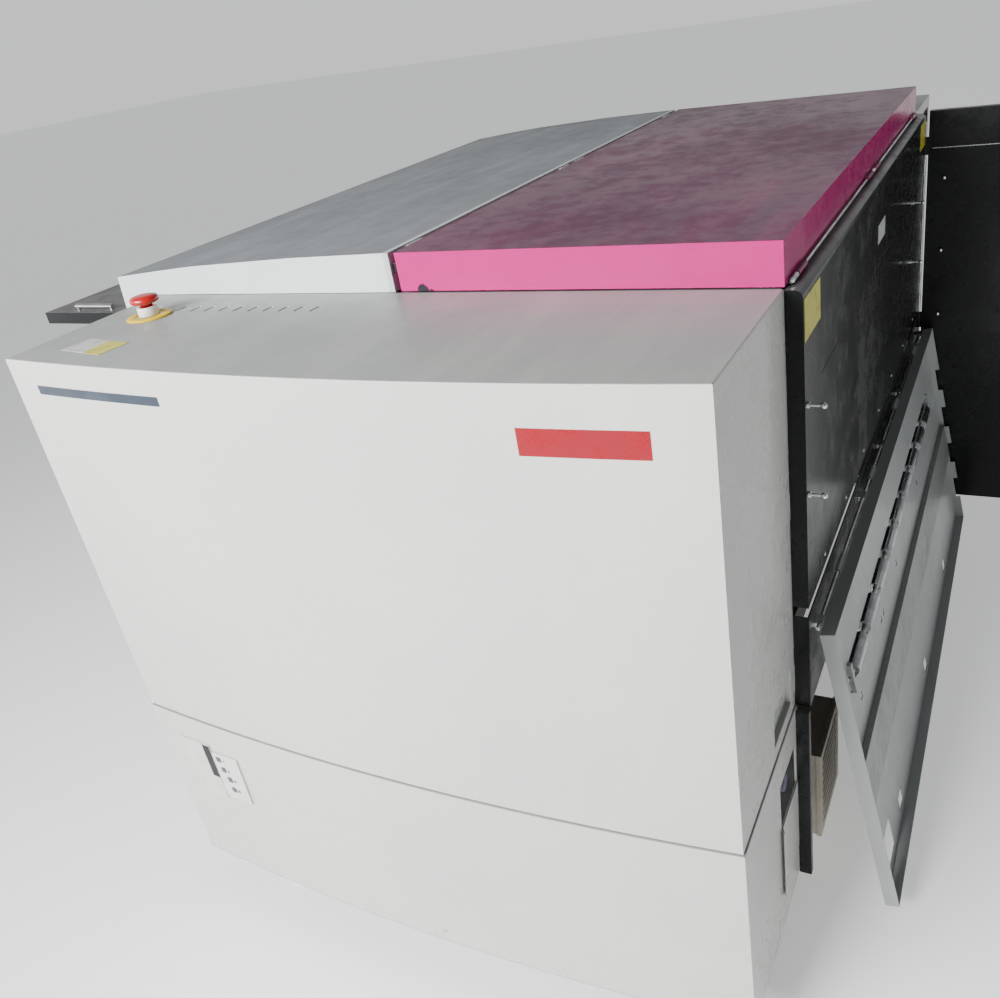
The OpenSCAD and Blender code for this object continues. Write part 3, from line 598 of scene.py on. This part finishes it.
def ringDisc(centre, low, high):
    steps = 96
    inner = stopLook["collarRadius"] - 0.0012
    outer = stopLook["ringRadius"]
    profile = [(inner, low), (outer - 0.0004, low), (outer, low + 0.0006),
               (outer, high - 0.0012), (outer - 0.0012, high), (inner, high)]

    def build(shape):
        rings = []
        for radius, level in profile:
            ring = []
            for step in range(steps):
                angle = 2 * math.pi * step / steps
                ring.append(shape.verts.new((centre[0] + radius * math.cos(angle),
                                             centre[1] + radius * math.sin(angle), level)))
            rings.append(ring)
        for lower, upper in zip(rings, rings[1:] + rings[:1]):
            for step in range(steps):
                after = (step + 1) % steps
                shape.faces.new((lower[step], lower[after], upper[after], upper[step]))
    return build


capX, capY, capLow, capHigh = stopCentre("stop_button")
ringX, ringY, ringLow, ringHigh = stopCentre("stop_ring")
under = capHigh - 0.016
capProfile = [(0, capLow), (0.0119, capLow), (0.0119, under - 0.0004), (0.0185, under),
              (0.0245, under + 0.0012), (0.0274, under + 0.0036), (0.0280, under + 0.0072),
              (0.0272, under + 0.0106), (0.0240, under + 0.0134), (0.0180, under + 0.0151),
              (0.0095, under + 0.0158), (0, under + 0.0160)]
cap = addPiece("stopCap", meshFrom(lathe(capProfile, (capX, capY, 0), steps=72), "stopCap"),
               "stopRed", "stop_head")
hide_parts("stop_button")
disc = addPiece("stopDisc",
                meshFrom(ringDisc((ringX, ringY), ringLow, ringLow + stopLook["ringHeight"]),
                         "stopDisc"), "stopYellow", "machine")
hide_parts("stop_ring")
addPiece("stopCollar",
         meshFrom(ribbedCollar((ringX, ringY), ringLow + stopLook["ringHeight"], ringHigh),
                  "stopCollar"), "collarWhite", "machine")
print("emergency stop made")


# the bowed front: plain colour bars, and a flush screw

frontLook = {
    "bowRadius": 6.4812,
    "frontEdge": -1.229,
    "barLift": 0.0004,
    "bars": {
        "redBar": ((0.392, 0.580, 1.254, 1.296), "accentRed", "stop_red"),
        "slateBar": ((-0.592, -0.267, 1.297, 1.314), "accentSlate", "dark_plastic"),
    },
    "screw": (0.0308, 0.1428, 0.0058),
}


def frontDepth(x):
    radius = frontLook["bowRadius"]
    return frontLook["frontEdge"] + radius - math.sqrt(radius * radius - x * x)


def frontBand(x0, x1, z0, z1, lift, columns=24):
    def build(shape):
        outer = []
        inner = []
        for column in range(columns + 1):
            x = x0 + (x1 - x0) * column / columns
            y = frontDepth(x)
            outer.append([shape.verts.new((x, y - lift, z)) for z in (z0, z1)])
            inner.append([shape.verts.new((x, y - 0.00002, z)) for z in (z0, z1)])
        for column in range(columns):
            a, b = outer[column], outer[column + 1]
            c, d = inner[column], inner[column + 1]
            shape.faces.new((a[0], b[0], b[1], a[1]))
            shape.faces.new((c[0], c[1], d[1], d[0]))
            shape.faces.new((a[1], b[1], d[1], c[1]))
            shape.faces.new((a[0], c[0], d[0], b[0]))
        for a, c in ((outer[0], inner[0]), (outer[-1], inner[-1])):
            shape.faces.new((a[0], a[1], c[1], c[0]))
    return build


for barName, (area, finish, slotName) in frontLook["bars"].items():
    addPiece(barName, meshFrom(frontBand(*area, frontLook["barLift"]), barName), finish,
             "machine", smooth=False)

towardFront = Matrix.Rotation(math.radians(90), 4, "X")
screwX, screwZ, screwRadius = frontLook["screw"]
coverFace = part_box("near_lower_cover")[0].y
screwProfile = [(0, -0.003), (screwRadius, -0.003), (screwRadius, 0.0), (0.0028, 0.0),
                (0.0024, -0.0008), (0, -0.0008)]
addPiece("coverScrew",
         meshFrom(lathe(screwProfile, (screwX, coverFace, screwZ), towardFront, 32),
                  "coverScrew"), "brushedSteel", "machine")
print("front bars and screw made")


# printed marks beside the keys, plain shapes only

keypadLook = {
    "keys": ["key_a", "key_b", "key_c", "key_d"],
    "sideways": 0.0150,
    "size": 0.0046,
    "lift": 0.00018,
    "corners": [3, 4, 6, 24],
}
acrossPlate = Vector((0.9974, -0.0714, 0))
outOfPlate = Vector((-0.0714, -0.9974, 0))
plateFace = max(outOfPlate.dot(v.co) for v in cadNodes["keypad_plate"].data.vertices)


def plateMark(corners, centre):
    points = []
    for step in range(corners):
        angle = 2 * math.pi * step / corners + math.pi / 2
        across = acrossPlate * (keypadLook["size"] * math.cos(angle))
        points.append(centre + across + Vector((0, 0, keypadLook["size"] * math.sin(angle))))
    return slab(points, outOfPlate * keypadLook["lift"])


marks = []
for keyName, corners in zip(keypadLook["keys"], keypadLook["corners"]):
    keyLow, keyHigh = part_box(keyName)
    centre = (keyLow + keyHigh) / 2 + acrossPlate * keypadLook["sideways"]
    centre += outOfPlate * (plateFace + 0.00002 - outOfPlate.dot(centre))
    marks.append(plateMark(corners, centre))
addPiece("keypadMarks", meshFrom(together(marks), "keypadMarks"), "printGrey", "machine",
         smooth=False)
print("keypad marks made")


# the door's top strip and its bright studs

doorLook = {
    "face": 0.8265,
    "stripStart": 0.712,
    "stripLow": 1.262,
    "stripHigh": 1.362,
    "stripProud": 0.002,
    "studX": 0.748,
    "studZ": [0.556, 0.765, 0.964, 1.176],
}
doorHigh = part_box("service_door")[1]
doorFace = doorLook["face"]


def tidyBox(low, high):
    corners = [(low[0], low[1], low[2]), (high[0], low[1], low[2]),
               (high[0], high[1], low[2]), (low[0], high[1], low[2])]
    return slab(corners, (0, 0, high[2] - low[2]))


stripLow = (doorLook["stripStart"], doorFace - doorLook["stripProud"], doorLook["stripLow"])
stripHigh = (doorHigh.x - 0.003, doorFace - 0.0001, doorLook["stripHigh"] - 0.002)
addPiece("doorStrip", meshFrom(tidyBox(stripLow, stripHigh), "doorStrip"), "blackPaint", "door",
         0.0007)
lineHigh = (stripHigh[0], doorFace - 0.0001, doorLook["stripLow"] - 0.0006)
lineLow = (stripLow[0], doorFace - 0.0010, doorLook["stripLow"] - 0.0030)
addPiece("doorLine", meshFrom(tidyBox(lineLow, lineHigh), "doorLine"), "brushedSteel", "door",
         0.0003)
studProfile = [(0, 0), (0.0062, 0), (0.0064, 0.0026), (0.0052, 0.0050), (0.0028, 0.0064),
               (0, 0.0068)]
studs = [lathe(studProfile, (doorLook["studX"], doorFace - 0.0001, z), towardFront, 28)
         for z in doorLook["studZ"]]
addPiece("doorStuds", meshFrom(together(studs), "doorStuds"), "brightChrome", "door")
print("door strip and studs made")


# a row of small screws low on the black rear panel

panelScrewLook = {
    "radius": 0.0042,
    "endInset": 0.150,
    "face": 0.692,
    "height": 0.800,
    "count": 7,
}
towardSide = Matrix.Rotation(math.radians(90), 4, "Y")
panelLow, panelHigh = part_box("rear_panel")
screwHead = [(0, -0.0006), (panelScrewLook["radius"], -0.0006),
             (panelScrewLook["radius"], 0.0004), (panelScrewLook["radius"] * 0.72, 0.0012),
             (panelScrewLook["radius"] * 0.30, 0.0013), (0.0008, 0.0006), (0, 0.0006)]
panelScrews = []
for step in range(panelScrewLook["count"]):
    share = step / (panelScrewLook["count"] - 1)
    start = panelLow.y + panelScrewLook["endInset"]
    reach = panelHigh.y - panelLow.y - 2 * panelScrewLook["endInset"]
    middle = (panelScrewLook["face"], start + share * reach, panelScrewLook["height"])
    panelScrews.append(lathe(screwHead, middle, towardSide, 24))
addPiece("panelScrews", meshFrom(together(panelScrews), "panelScrews"), "brushedSteel",
         "machine")
print("panel screws made")


placeCamera()
areaLight("keyLight", (-1.0, -4.0, 2.7), (0.1, -1.23, 1.40), (2.4, 1.0), 165, 105)
areaLight("fillLight", (-4.2, -2.4, 1.6), (-0.3, -0.6, 0.9), (2.4, 2.4), 30)
areaLight("sideLight", (4.4, -1.0, 1.5), (0.6, 0, 0.7), (2.0, 2.0), 10)

world = bpy.data.worlds.new("studioWorld")
bpy.context.scene.world = world
world.use_nodes = True
skyTree = world.node_tree
direction = addNode(skyTree, "ShaderNodeTexCoord").outputs["Generated"]
skySplit = addNode(skyTree, "ShaderNodeSeparateXYZ", {0: direction})
rightSide = remap(skyTree, skySplit.outputs[0], 0.05, 0.75)
overhead = remap(skyTree, skySplit.outputs[2], 0.22, 0.75)
skyColour = mixColour(skyTree, rightSide, studio["skyBright"], studio["skySide"])
skyColour = mixColour(skyTree, overhead, skyColour, studio["skyTop"])
skyTree.links.new(skyColour, skyTree.nodes["Background"].inputs["Color"])
skyTree.nodes["Background"].inputs["Strength"].default_value = studio["skyStrength"]

floorMesh = bpy.data.meshes.new("studioFloor")
floorMesh.from_pydata([(-40, -40, 0), (40, -40, 0), (40, 40, 0), (-40, 40, 0)], [], [(0, 1, 2, 3)])
floor = bpy.data.objects.new("studioFloor", floorMesh)
floorMesh.materials.append(floorFinish())
bpy.context.scene.collection.objects.link(floor)
print("camera, light and floor placed")
